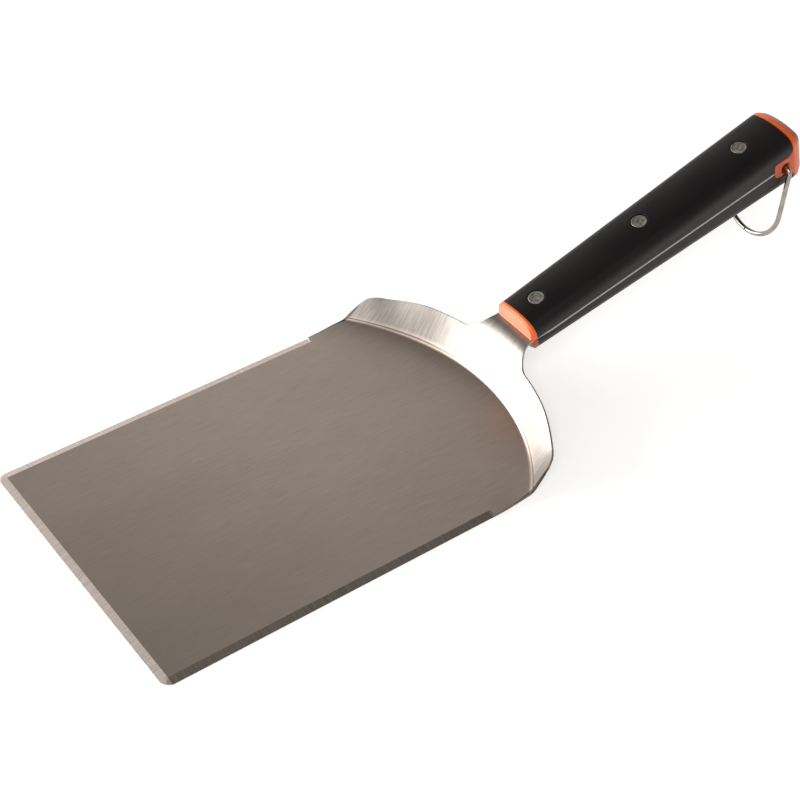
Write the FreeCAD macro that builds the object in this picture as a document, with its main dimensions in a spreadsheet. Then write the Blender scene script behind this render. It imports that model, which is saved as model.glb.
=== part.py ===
import FreeCAD, Part
import math
import os
import re
import Sketcher

# Grill spatula: one pressed stainless sheet makes the blade, the curved shoulder and the full tang;
# two plastic scales are riveted to the tang between coloured end pieces, and a wire loop hangs from
# the rear one.  Millimetres.  Row frame: X across the blade, Y from the blade's front edge towards
# the handle, Z up from the underside of the blade; Y = 0 is half way along the whole tool.

V = FreeCAD.Vector
doc = FreeCAD.newDocument("grill_spatula")

# ---------------------------------------------------------------- driving dimensions
DIMENSIONS = [
    ("sheet_gauge", 1.2, "thickness of the stainless sheet"),
    ("front_edge", -207.6, "Y of the blade's front edge"),
    ("blade_half_width", 76.4, "half of the blade's width"),
    ("blade_corner_radius", 5.0, "rounding of the two front corners"),
    ("flat_length", 174.0, "front edge to the start of the lifted rear corners"),
    ("bevel_width", 3.9, "ground bevel on the front and sides, seen from above"),
    ("bevel_depth", 0.9, "how much of the sheet the bevel removes at its edge"),
    ("bevel_length", 171.7, "front edge to the end of the side bevels"),
    ("arc_centre", 113.2, "front edge to the centre of the shoulder's bend arc"),
    ("foot_radius", 110.9, "radius of the bend line at the shoulder's foot"),
    ("crest_radius", 119.9, "radius of the shoulder's top edge, seen from above"),
    ("shoulder_angle", 62.0, "slope of the shoulder near the middle, degrees"),
    ("shoulder_end_angle", 50.0, "slope of the shoulder at its two ends, degrees"),
    ("lean_start", 21.0, "azimuth where the shoulder begins to lean back, degrees"),
    ("lean_end", 37.0, "azimuth where it leans back fully, degrees"),
    ("corner_lift_angle", 6.2, "upward bend of the blade's rear corners, degrees"),
    ("corner_lift_run", 8.0, "length over which that bend starts"),
    ("foot_blend", 1.6, "size of the bend between blade and shoulder"),
    ("neck_blend", 7.4, "size of the bend between shoulder and tang"),
    ("neck_fillet", 13.0, "plan radius where the shoulder narrows into the tang"),
    ("crest_end", 33.5, "azimuth where the crest's arc ends and its corner rounds off, degrees"),
    ("crest_tip_x", 73.65, "half width at the point that pulls the rounded corner"),
    ("crest_tip_y", 208.55, "front edge to that point"),
    ("shoulder_corner_x", 74.1, "half width of the shoulder at its lower side corners"),
    ("shoulder_corner_y", 202.5, "front edge to those corners"),
    ("handle_tilt", 14.1, "rise of the handle, degrees"),
    ("handle_start", 243.15, "front edge to the front face of the handle"),
    ("handle_height", 25.72, "Z of the tang's middle plane at that face"),
    ("tang_half_front", 13.2, "half width of the tang at the handle's front"),
    ("tang_widened", 12.0, "handle front to where the tang has widened to the scales"),
    ("tang_half_widened", 14.04, "half width of the tang there"),
    ("tang_half_rear", 15.56, "half width of the tang at its rear end"),
    ("tang_length", 155.8, "length of the tang inside the handle"),
    ("bolster_length", 3.2, "length of the coloured front pieces"),
    ("bolster_chamfer", 1.4, "chamfer round their front face"),
    ("bolster_lean", 1.2, "how far the front face leans back at the handle's crown"),
    ("scale_end", 168.9, "handle front to the rear end of the scales"),
    ("scale_half_front", 13.9, "half width of the handle at its front"),
    ("scale_half_rear", 15.65, "half width of the handle at its rear"),
    ("scale_height_front", 9.2, "height of one scale above the tang, front"),
    ("scale_height_rear", 15.6, "height of one scale above the tang, rear"),
    ("grip_corner", 6.5, "radius along the handle's long corners"),
    ("grip_crown", 40.0, "radius of the handle's crowned top and bottom"),
    ("cap_ring", 2.5, "flush part of the end cap"),
    ("cap_length", 6.5, "end cap behind the scales"),
    ("cap_narrowing", 2.75, "how far its chamfer draws the outline in"),
    ("tongue_front", 156.3, "handle front to the tip of the end cap's tongues"),
    ("tongue_top", 5.0, "tongue's upper edge above the tang's middle plane"),
    ("tongue_bottom", 3.4, "tongue's lower edge below it, at the tip"),
    ("tongue_root", 7.0, "tongue's lower edge below it, at the cap"),
    ("tongue_corner", 2.2, "rounding of the tongue's tip"),
    ("tongue_flare", 4.0, "radius where the upper edge meets the end cap's ring"),
    ("tongue_low_flare", 2.6, "radius where the lower edge meets it"),
    ("tongue_proud", 0.1, "how far the tongues stand out of the handle's sides"),
    ("loop_hole_along", 164.4, "handle front to the cross hole"),
    ("loop_hole_below", 2.2, "cross hole below the tang's middle plane"),
    ("loop_hole_diameter", 6.6, "cross hole through the tongues"),
    ("loop_axis_along", 163.6, "handle front to the loop's turning axis"),
    ("loop_axis_below", 0.9, "turning axis below the tang's middle plane"),
    ("wire_diameter", 2.6, "wire of the hanging loop"),
    ("loop_half_width", 18.6, "loop's legs from the middle, at the wire's centre"),
    ("loop_leg", 27.7, "turning axis to the centre of the loop's round end"),
    ("loop_bend", 2.8, "bend radius where the wire turns into the hole"),
    ("loop_tail", 9.0, "half of the gap between the wire's two inner ends"),
    ("loop_swing", 5.0, "how far the loop hangs off plumb, towards the blade, degrees"),
    ("rivet_first", 15.2, "handle front to the first rivet"),
    ("rivet_pitch", 66.0, "distance between rivets"),
    ("rivet_head_diameter", 8.2, "rivet heads"),
    ("rivet_head_thickness", 1.2, "rivet heads"),
    ("rivet_shank_diameter", 5.0, "outer rivet half's tube"),
    ("rivet_pin_diameter", 3.0, "inner rivet half's pin"),
    ("rivet_recess", 0.3, "rivet heads below the handle's surface"),
    ("rivet_sink_diameter", 8.9, "counterbores for the rivet heads"),
    ("rivet_clearance", 0.05, "radial room round the rivet shanks and pins"),
    ("rivet_rim", 0.3, "chamfer round the rivet heads"),
    ("rivet_land", 1.0, "raised ring between that chamfer and the dish"),
    ("rivet_dish", 0.15, "depth of the dish in the rivet heads"),
    ("tube_floor", 0.6, "solid head above the tube's bore"),
    ("tube_gap", 0.2, "tube's foot short of the other head"),
    ("pin_gap", 1.0, "pin's tip short of the tube's own head"),
    ("grip_past", 20.0, "how far the cutting tools reach past the handle"),
]

sheet = doc.addObject("Spreadsheet::Sheet", "Dimensions")
for row, (alias, value, meaning) in enumerate(DIMENSIONS, start=1):
    sheet.set(f"A{row}", alias)
    sheet.set(f"B{row}", str(value))
    sheet.set(f"C{row}", meaning)
    sheet.setAlias(f"B{row}", alias)
doc.recompute()


def dim(alias):
    """The number in the sheet's cell of that name."""
    return float(sheet.get(alias))


def cell(expression):
    """An expression on the sheet: every word that is an alias gets the sheet's name before it."""
    aliases = {alias for alias, _, _ in DIMENSIONS}
    return re.sub(r"[a-z_]+", lambda word: f"Dimensions.{word[0]}" if word[0] in aliases else word[0], expression)


HALF_GAUGE = dim("sheet_gauge") / 2
TILT = math.radians(dim("handle_tilt"))
HANDLE_ORIGIN = V(0, dim("front_edge") + dim("handle_start"), dim("handle_height"))
HANDLE_TURN = FreeCAD.Rotation(V(1, 0, 0), dim("handle_tilt"))


def on_handle(along, above, turn=FreeCAD.Rotation()):
    """Placement in the handle's frame: Y runs along the handle, Z away from the tang's middle plane."""
    frame = FreeCAD.Placement(HANDLE_ORIGIN, HANDLE_TURN)
    return frame.multiply(FreeCAD.Placement(V(0, along, above), turn))


# ---------------------------------------------------------------- helpers for bodies and sketches
def new_body(label, placement=FreeCAD.Placement()):
    body = doc.addObject("PartDesign::Body", label)
    body.Label = label
    body.Placement = placement
    return body


def new_sketch(body, name, role, offset=0.0):
    """A sketch on one of the body's own origin planes, moved along that plane's normal."""
    plane = next(f for f in body.Origin.OriginFeatures if f.Role == role)
    sketch = body.newObject("Sketcher::SketchObject", name)
    sketch.AttachmentSupport = [(plane, "")]
    sketch.MapMode = "FlatFace"
    sketch.AttachmentOffset = FreeCAD.Placement(V(0, 0, offset), FreeCAD.Rotation())
    return sketch


def bind(sketch, kind, places, name, expression):
    """A named dimension of the sketch, driven by the sheet."""
    value = sketch.evalExpression(cell(expression))
    index = sketch.addConstraint(Sketcher.Constraint(kind, *places, float(value)))
    sketch.renameConstraint(index, name)
    sketch.setExpression(f"Constraints.{name}", cell(expression))


def polygon(sketch, points):
    """Closed outline of straight lines; every corner's X and Y is bound to its own expression."""
    values = [(float(sketch.evalExpression(cell(x))), float(sketch.evalExpression(cell(y))))
              for x, y in points]
    count = len(points)
    for k in range(count):
        start, end = values[k], values[(k + 1) % count]
        sketch.addGeometry(Part.LineSegment(V(*start, 0), V(*end, 0)), False)
    for k in range(count):
        sketch.addConstraint(Sketcher.Constraint("Coincident", k, 2, (k + 1) % count, 1))
    for k, (x, y) in enumerate(points):
        for axis, text, value in (("X", x, values[k][0]), ("Y", y, values[k][1])):
            if abs(value) < 1e-9:
                line = -2 if axis == "X" else -1
                sketch.addConstraint(Sketcher.Constraint("PointOnObject", k, 1, line))
            else:
                bind(sketch, f"Distance{axis}", (-1, 1, k, 1), f"corner{k}_{axis.lower()}", text)


def circle(sketch, x, y, diameter, name):
    """A circle whose centre and diameter are expressions on the sheet."""
    centre = V(float(sketch.evalExpression(cell(x))), float(sketch.evalExpression(cell(y))), 0)
    radius = float(sketch.evalExpression(cell(diameter))) / 2
    index = sketch.addGeometry(Part.Circle(centre, V(0, 0, 1), radius), False)
    bind(sketch, "Diameter", (index,), f"{name}_diameter", diameter)
    for axis, text, value in (("X", x, centre.x), ("Y", y, centre.y)):
        if abs(value) < 1e-9:
            sketch.addConstraint(Sketcher.Constraint("PointOnObject", index, 3, -2 if axis == "X" else -1))
        else:
            bind(sketch, f"Distance{axis}", (-1, 1, index, 3), f"{name}_{axis.lower()}", text)


def pad(body, name, sketch, length, midplane=False, reverse=False):
    feature = body.newObject("PartDesign::Pad", name)
    feature.Profile = sketch
    feature.setExpression("Length", cell(length))
    feature.Midplane = midplane
    feature.Reversed = reverse
    body.Tip = feature
    doc.recompute()
    return feature


def pocket(body, name, sketch, length, midplane=False, reverse=False):
    """A pocket that has to take material away."""
    before = body.Shape.Volume
    feature = body.newObject("PartDesign::Pocket", name)
    feature.Profile = sketch
    feature.Midplane = midplane
    feature.Reversed = reverse
    feature.setExpression("Length", cell(length))
    body.Tip = feature
    doc.recompute()
    if not body.Shape.Volume < before - 1e-3:
        raise RuntimeError(f"{body.Label}.{name} cuts nothing")
    return feature


def edges_where(shape, test):
    """Names of the shape's edges whose bounding box and curve pass the test."""
    return [f"Edge{k}" for k, edge in enumerate(shape.Edges, start=1) if test(edge)]


def dress(body, kind, name, base, edges, size):
    """A fillet or chamfer of the given size on the named edges."""
    feature = body.newObject(f"PartDesign::{kind}", name)
    feature.Base = (base, edges)
    feature.setExpression("Radius" if kind == "Fillet" else "Size", cell(size))
    body.Tip = feature
    doc.recompute()
    return feature


# ---------------------------------------------------------------- blade_and_tang: the flat blade
def make_blade_plate():
    """Flat sheet with two rounded front corners and a bevel ground on its front and sides."""
    body = new_body("blade_plate", FreeCAD.Placement(V(0, dim("front_edge"), 0), FreeCAD.Rotation()))
    outline = new_sketch(body, "plate_outline", "XY_Plane")
    polygon(outline, [("-blade_half_width", "0"), ("blade_half_width", "0"),
                      ("blade_half_width", "flat_length"), ("-blade_half_width", "flat_length")])
    plate = pad(body, "plate", outline, "sheet_gauge")
    upright = edges_where(plate.Shape, lambda e: e.BoundBox.ZLength > 1 and e.CenterOfMass.y < 1)
    dress(body, "Fillet", "front_corners", plate, upright, "blade_corner_radius")

    low, top = "(sheet_gauge - bevel_depth)", "(sheet_gauge + 1)"
    slope = "bevel_width / bevel_depth"
    for side in ("", "-"):
        name = "left" if side else "right"
        wedge = new_sketch(body, f"{name}_wedge", "XZ_Plane", -dim("bevel_length"))
        polygon(wedge, [(f"{side}blade_half_width", low),
                        (f"{side}(blade_half_width + 1)", low),
                        (f"{side}(blade_half_width + 1)", top),
                        (f"{side}(blade_half_width - bevel_width - {slope})", top)])
        pocket(body, f"{name}_bevel", wedge, "bevel_length + 1", reverse=True)
    wedge = new_sketch(body, "front_wedge", "YZ_Plane")
    polygon(wedge, [("-1", low), ("0", low), (f"bevel_width + {slope}", top), ("-1", top)])
    pocket(body, "front_bevel", wedge, "2 * blade_half_width + 2", midplane=True)
    return body


# ---------------------------------------------------------------- blade_and_tang: the shoulder
def smooth_step(value):
    value = min(max(value, 0.0), 1.0)
    return value * value * (3 - 2 * value)


def rounded_extreme(a, b, size, sign):
    """The larger (sign 1) or smaller (sign -1) of two heights, with a bend of the given size between."""
    overlap = max(size - abs(a - b), 0.0)
    return (max(a, b) if sign > 0 else min(a, b)) + sign * overlap * overlap / (4 * size)


def top_height(x, y):
    """Height of the sheet's top surface at a plan position; y counts from the blade's front edge.

    The blade's plane, with its rear corners lifted, turns up along an arc into the leaning shoulder,
    which turns back into the plane of the tang.
    """
    past = max(y - dim("flat_length"), 0.0)
    run = dim("corner_lift_run")
    ramp = past * past / (2 * run) if past < run else past - run / 2
    lift = ramp * math.tan(math.radians(dim("corner_lift_angle")))
    blade = dim("sheet_gauge") + lift * abs(x / dim("blade_half_width")) ** 6

    across, along = x, y - dim("arc_centre")
    azimuth = math.degrees(math.atan2(abs(across), along))
    lean = smooth_step((azimuth - dim("lean_start")) / (dim("lean_end") - dim("lean_start")))
    steep = math.tan(math.radians(dim("shoulder_angle")))
    gentle = math.tan(math.radians(dim("shoulder_end_angle")))
    slope = steep + (gentle - steep) * lean
    shoulder = blade + (math.hypot(across, along) - dim("foot_radius")) * slope

    above_mid = (y - dim("handle_start")) * math.tan(TILT) + HALF_GAUGE / math.cos(TILT)
    tang = dim("handle_height") + above_mid
    return rounded_extreme(rounded_extreme(blade, shoulder, dim("foot_blend"), 1),
                           tang, dim("neck_blend"), -1)


def sheet_point(x, y, depth):
    """Point at a depth below the sheet's top surface, measured square to the surface."""
    step = 0.02
    slope_x = (top_height(x + step, y) - top_height(x - step, y)) / (2 * step)
    slope_y = (top_height(x, y + step) - top_height(x, y - step)) / (2 * step)
    normal = V(-slope_x, -slope_y, 1)
    normal.normalize()
    return V(x, y, top_height(x, y)) - normal * depth


def shoulder_outline():
    """Plan points along the shoulder's rear edge: across the tang, round the neck, along the arc
    and round the corner, for x from zero to the side."""
    neck_x = dim("tang_half_front") + dim("neck_fillet")
    reach = dim("crest_radius") + dim("neck_fillet")
    neck_y = dim("arc_centre") + math.sqrt(reach ** 2 - neck_x ** 2)
    rear = dim("handle_start") - HALF_GAUGE * math.sin(TILT)
    points = [(dim("tang_half_front") * k / 5, rear) for k in range(6)]

    first = math.pi + max(math.asin((neck_y - rear) / dim("neck_fillet")), 0.0)
    last = math.pi + math.atan2(neck_y - dim("arc_centre"), neck_x)
    for k in range(1, 13):
        angle = first + (last - first) * (k / 12) ** 0.75
        points.append((neck_x + dim("neck_fillet") * math.cos(angle),
                       neck_y + dim("neck_fillet") * math.sin(angle)))

    start, end = math.atan2(neck_x, neck_y - dim("arc_centre")), math.radians(dim("crest_end"))
    for k in range(1, 21):
        azimuth = start + (end - start) * k / 20
        points.append((dim("crest_radius") * math.sin(azimuth),
                       dim("arc_centre") + dim("crest_radius") * math.cos(azimuth)))

    arc_end, corner = V(*points[-1], 0), V(dim("shoulder_corner_x"), dim("shoulder_corner_y"), 0)
    tip = V(dim("crest_tip_x"), dim("crest_tip_y"), 0)
    for k in range(1, 13):
        u = k / 12
        spot = arc_end * (1 - u) ** 2 + tip * (2 * u * (1 - u)) + corner * u ** 2
        points.append((spot.x, spot.y))
    return points


def shoulder_profile(side, end_x, end_y, share):
    """The sheet's top, underside and two ends along one line from the blade to the outline, as edges.

    Rows of points lie closest where the line crosses the bend at the shoulder's foot.
    """
    start_x, start_y = dim("blade_half_width") * share, dim("flat_length")

    def plan(part):
        return start_x + (end_x - start_x) * part ** 4, start_y + (end_y - start_y) * part

    low, high = 0.0, 1.0
    for _ in range(40):
        middle = (low + high) / 2
        x, y = plan(middle)
        inside = math.hypot(x, y - dim("arc_centre")) < dim("foot_radius")
        low, high = (middle, high) if inside else (low, middle)
    near = 1.5 * dim("foot_blend") / (end_y - start_y)
    parts = [(low - near) * (1 - (1 - k / 9) ** 1.7) for k in range(9)]
    parts += [low - near + 2 * near * k / 12 for k in range(12)]
    parts += [low + near + (1 - low - near) * (k / 14) ** 1.4 for k in range(15)]

    curves = []
    for depth in (0.0, dim("sheet_gauge")):
        spots = [sheet_point(*plan(part), depth) for part in parts]
        curve = Part.BSplineCurve()
        steps = [k / (len(spots) - 1) for k in range(len(spots))]
        curve.interpolate(Points=[V(side * p.x, p.y, p.z) for p in spots], Parameters=steps)
        curves.append(curve)
    top, under = curves
    ends = [Part.LineSegment(top.StartPoint, under.StartPoint), Part.LineSegment(top.EndPoint, under.EndPoint)]
    return [edge.toShape() for edge in (top, under, *ends)]


def make_shoulder():
    """Curved shoulder and neck, ruled between sections from one side of the blade to the other."""
    outline = shoulder_outline()
    widest = outline[-1][0]
    half = [(x, y, x / widest) for x, y in outline]
    sections = [shoulder_profile(-1, *spot) for spot in reversed(half[1:])]
    sections += [shoulder_profile(1, *spot) for spot in half]
    forward = 1
    faces = [Part.makeRuledSurface(end[0], end[1], forward) for end in (sections[0], sections[-1])]
    for section, following in zip(sections, sections[1:]):
        faces += [Part.makeRuledSurface(a, b, forward) for a, b in zip(section, following)]
    skin = Part.makeCompound(faces)
    skin.sewShape(1e-4)
    feature = doc.addObject("Part::Feature", "shoulder")
    feature.Shape = Part.makeSolid(Part.Shell(skin.Faces))
    feature.Placement = FreeCAD.Placement(V(0, dim("front_edge"), 0), FreeCAD.Rotation())
    return feature


# ---------------------------------------------------------------- blade_and_tang: the tang
def rivet_alongs():
    return [f"(rivet_first + {k} * rivet_pitch)" for k in range(3)]


def make_tang():
    """Flat tapered tang with its rivet holes, in the handle's middle plane."""
    body = new_body("tang_plate", on_handle(0, 0))
    outline = new_sketch(body, "tang_outline", "XY_Plane")
    polygon(outline, [("-tang_half_front", "0"), ("tang_half_front", "0"),
                      ("tang_half_widened", "tang_widened"), ("tang_half_rear", "tang_length"),
                      ("-tang_half_rear", "tang_length"), ("-tang_half_widened", "tang_widened")])
    pad(body, "tang", outline, "sheet_gauge", midplane=True)
    holes = new_sketch(body, "rivet_holes_outline", "XY_Plane")
    for k, along in enumerate(rivet_alongs()):
        circle(holes, "0", along, "rivet_shank_diameter + 2 * rivet_clearance", f"hole{k}")
    pocket(body, "rivet_holes", holes, "sheet_gauge + 2", midplane=True)
    return body


# ---------------------------------------------------------------- handle sections
def grip_section(sketch, half_width, height, whole=False):
    """Section of the handle: upright sides, round corners and a crowned top.

    A half section is closed by a straight line on the tang; a whole one has the same shape below.
    """
    w = float(sketch.evalExpression(cell(half_width)))
    top = float(sketch.evalExpression(cell(height)))
    corner, crown = dim("grip_corner"), dim("grip_crown")
    crown_y = top - crown
    corner_x = w - corner
    corner_y = crown_y + math.sqrt((crown - corner) ** 2 - corner_x ** 2)
    turn = math.atan2(corner_y - crown_y, corner_x)
    up, half_turn = V(0, 0, 1), math.pi
    foot = -corner_y if whole else 0.0
    shapes = [
        Part.LineSegment(V(w, foot, 0), V(w, corner_y, 0)),
        Part.ArcOfCircle(Part.Circle(V(corner_x, corner_y, 0), up, corner), 0, turn),
        Part.ArcOfCircle(Part.Circle(V(0, crown_y, 0), up, crown), turn, half_turn - turn),
        Part.ArcOfCircle(Part.Circle(V(-corner_x, corner_y, 0), up, corner), half_turn - turn, half_turn),
        Part.LineSegment(V(-w, corner_y, 0), V(-w, foot, 0)),
    ]
    if whole:
        shapes += [
            Part.ArcOfCircle(Part.Circle(V(-corner_x, -corner_y, 0), up, corner), half_turn, half_turn + turn),
            Part.ArcOfCircle(Part.Circle(V(0, -crown_y, 0), up, crown), half_turn + turn, 2 * half_turn - turn),
            Part.ArcOfCircle(Part.Circle(V(corner_x, -corner_y, 0), up, corner), -turn, 0),
        ]
    else:
        shapes.append(Part.LineSegment(V(-w, 0, 0), V(w, 0, 0)))
    sketch.addGeometry(shapes, False)
    count = len(shapes)
    square = set() if whole else {(4, 5), (5, 0)}
    rules = [("Coincident" if (k, (k + 1) % count) in square else "Tangent", k, 2, (k + 1) % count, 1)
             for k in range(count)]
    rules += [("Vertical", 0), ("Vertical", 4), ("PointOnObject", 2, 3, -2)]
    rules.append(("PointOnObject", 6, 3, -2) if whole else ("Symmetric", 5, 1, 5, 2, -1, 1))
    for rule in rules:
        sketch.addConstraint(Sketcher.Constraint(*rule))
    bind(sketch, "DistanceX", (-1, 1, 0, 2), "right_side", half_width)
    if whole:
        bind(sketch, "DistanceX", (4, 1, -1, 1), "left_side", half_width)
        bind(sketch, "Radius", (6,), "lower_crown", "grip_crown")
        bind(sketch, "DistanceY", (-1, 1, 6, 3), "lower_crown_centre", f"grip_crown - ({height})")
    for k in (1, 3, 5, 7) if whole else (1, 3):
        bind(sketch, "Radius", (k,), f"corner{k}", "grip_corner")
    bind(sketch, "Radius", (2,), "crown", "grip_crown")
    bind(sketch, "DistanceY", (2, 3, -1, 1), "crown_centre", f"grip_crown - ({height})")


def height_at(along):
    """Expression for a scale's height above the tang at a distance from the handle's front."""
    rate = "(scale_height_rear - scale_height_front) / (scale_end - bolster_length)"
    return f"(scale_height_front + {rate} * ({along} - bolster_length))"


def tongue_outline(sketch):
    """Side view of the end cap's tongue: straight top edge, lower edge that drops towards the cap,
    and both flared in short steps of a quarter circle where they meet the cap's ring."""
    fall = "(tongue_root - tongue_bottom) / (scale_end - tongue_front)"
    upper, lower = [], []
    for angle in range(0, 91, 15):
        across, rise = (f"{v:.5f}" for v in (1 - math.sin(math.radians(angle)), 1 - math.cos(math.radians(angle))))
        upper.append((f"scale_end - tongue_flare * {across}", f"tongue_top + tongue_flare * {rise}"))
        lower.append((f"scale_end - tongue_low_flare * {across}",
                      f"tongue_low_flare * ({fall} * {across} - {rise}) - tongue_root"))
    polygon(sketch, [("tongue_front", "-tongue_bottom"), *lower, *upper[::-1], ("tongue_front", "tongue_top")])


UPPER, LOWER = FreeCAD.Rotation(), FreeCAD.Rotation(V(0, 1, 0), 180)


def make_cap_space(cap):
    """The end cap with its cross hole filled: the room that the two scales leave for it."""
    plug = doc.addObject("Part::Cylinder", "cross_hole_plug")
    plug.setExpression("Radius", cell("loop_hole_diameter / 2"))
    plug.setExpression("Height", cell("2 * (scale_half_rear + tongue_proud)"))
    across = FreeCAD.Rotation(V(0, 1, 0), 90)
    plug.Placement = on_handle(dim("loop_hole_along"), -dim("loop_hole_below"), across)
    plug.Placement.Base = plug.Placement.Base - V(dim("scale_half_rear") + dim("tongue_proud"), 0, 0)
    space = doc.addObject("Part::MultiFuse", "cap_space")
    space.Shapes = [cap, plug]
    return space


def make_scale(label, turn, cap_space):
    """Moulded grip half, lofted from front to rear, with rivet holes and room for the cap's tongue."""
    side = 1 if turn.Angle == 0 else -1
    body = new_body(f"{label}_body", on_handle(0, side * HALF_GAUGE, turn))
    front = new_sketch(body, f"{label}_front", "XZ_Plane", -dim("bolster_length"))
    front.setExpression("AttachmentOffset.Base.z", cell("-bolster_length"))
    grip_section(front, "scale_half_front", "scale_height_front")
    rear = new_sketch(body, f"{label}_rear", "XZ_Plane", -dim("scale_end"))
    rear.setExpression("AttachmentOffset.Base.z", cell("-scale_end"))
    grip_section(rear, "scale_half_rear", "scale_height_rear")
    grip = body.newObject("PartDesign::AdditiveLoft", f"{label}_grip")
    grip.Profile = front
    grip.Sections = [rear]
    grip.Ruled = True
    body.Tip = grip
    doc.recompute()
    for k, along in enumerate(rivet_alongs()):
        bore = new_sketch(body, f"{label}_bore{k}", "XY_Plane")
        circle(bore, "0", along, "rivet_shank_diameter + 2 * rivet_clearance", "bore")
        pocket(body, f"{label}_rivet_bore{k}", bore, "2 * grip_past", midplane=True)
        seat = f"{height_at(along)} - rivet_recess - rivet_head_thickness"
        sink = new_sketch(body, f"{label}_sink{k}", "XY_Plane")
        sink.setExpression("AttachmentOffset.Base.z", cell(seat))
        doc.recompute()
        circle(sink, "0", along, "rivet_sink_diameter", "sink")
        pocket(body, f"{label}_rivet_sink{k}", sink, "grip_past", reverse=True)
    scale = doc.addObject("Part::Cut", label)
    scale.Label = label
    scale.Base = body
    scale.Tool = cap_space
    return scale


def make_bolster(label, turn):
    """Coloured front piece, flush with the scale behind it; its front face leans back and is chamfered."""
    side = 1 if turn.Angle == 0 else -1
    body = new_body(label, on_handle(0, side * HALF_GAUGE, turn))
    outline = new_sketch(body, f"{label}_outline", "XZ_Plane")
    grip_section(outline, "scale_half_front", "scale_height_front")
    pad(body, f"{label}_block", outline, "bolster_length", reverse=True)
    wedge = new_sketch(body, f"{label}_wedge", "YZ_Plane")
    polygon(wedge, [("0", "0"), ("bolster_lean / scale_height_front * grip_past", "grip_past"),
                    ("-1", "grip_past"), ("-1", "0")])
    face = pocket(body, f"{label}_leaning_face", wedge, "2 * grip_past", midplane=True)
    behind = dim("bolster_length") - 0.01
    rim = edges_where(face.Shape, lambda e: e.BoundBox.YMax < behind and e.BoundBox.ZMax > 0.01)
    dress(body, "Chamfer", f"{label}_rim", face, rim, "bolster_chamfer")
    return body


# ---------------------------------------------------------------- end_cap
def make_end_cap():
    """One moulding: a chamfered plate over the scales' ends and a cross bar whose ends are the tongues."""
    body = new_body("end_cap", on_handle(0, 0))
    bar = new_sketch(body, "tongue_side_view", "YZ_Plane")
    tongue_outline(bar)
    tongue = pad(body, "tongue_bar", bar, "2 * (scale_half_rear + tongue_proud)", midplane=True)
    front = dim("tongue_front") + 0.01
    tip = edges_where(tongue.Shape, lambda e: e.BoundBox.XLength > 10 and e.CenterOfMass.y < front)
    dress(body, "Fillet", "tongue_tip", tongue, tip, "tongue_corner")
    plate = new_sketch(body, "cap_outline", "XZ_Plane")
    plate.setExpression("AttachmentOffset.Base.z", cell("-scale_end"))
    grip_section(plate, "scale_half_rear", "scale_height_rear + sheet_gauge / 2", whole=True)
    pad(body, "cap_plate", plate, "cap_length", reverse=True)
    rear = dim("scale_end") + dim("cap_length")
    rim = edges_where(body.Tip.Shape, lambda e: e.BoundBox.YMin > rear - 0.01)
    chamfer = dress(body, "Chamfer", "cap_rim", body.Tip, rim, "cap_length - cap_ring")
    chamfer.ChamferType = "Two distances"
    chamfer.setExpression("Size2", cell("cap_narrowing"))
    doc.recompute()
    hole = new_sketch(body, "cross_hole_outline", "YZ_Plane")
    circle(hole, "loop_hole_along", "-loop_hole_below", "loop_hole_diameter", "hole")
    pocket(body, "cross_hole", hole, "2 * scale_half_rear + 4", midplane=True)
    return body


# ---------------------------------------------------------------- rivets
def make_rivet(label, along, turn, female):
    """Half of a two-part rivet, turned on a lathe: a dished head on a tube, or on a pin that fits it."""
    side = 1 if turn.Angle == 0 else -1
    reach = float(sheet.evalExpression(cell(along)))
    body = new_body(label, on_handle(reach, side * HALF_GAUGE, turn))
    top = f"({height_at(along)} - rivet_recess)"
    seat = f"({top} - rivet_head_thickness)"
    head = "rivet_head_diameter / 2"
    across = f"({seat} + sheet_gauge)"
    if female:
        inner, outer = "rivet_pin_diameter / 2 + rivet_clearance / 2", "rivet_shank_diameter / 2"
        foot = f"-{across} + tube_gap"
        shank = [("0", f"{seat} - tube_floor"), (inner, f"{seat} - tube_floor"), (inner, foot), (outer, foot)]
    else:
        outer = "rivet_pin_diameter / 2"
        foot = f"-{across} + pin_gap"
        shank = [("0", foot), (outer, foot)]
    profile = new_sketch(body, f"{label}_profile", "XZ_Plane")
    polygon(profile, shank + [(outer, seat), (head, seat), (head, f"{top} - rivet_rim"),
                              (f"{head} - rivet_rim", top), (f"{head} - rivet_land", f"{top} - rivet_dish"),
                              ("0", f"{top} - rivet_dish")])
    turning = body.newObject("PartDesign::Revolution", f"{label}_turned")
    turning.Profile = profile
    turning.ReferenceAxis = (profile, ["V_Axis"])
    turning.Angle = 360
    body.Tip = turning
    return body


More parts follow.
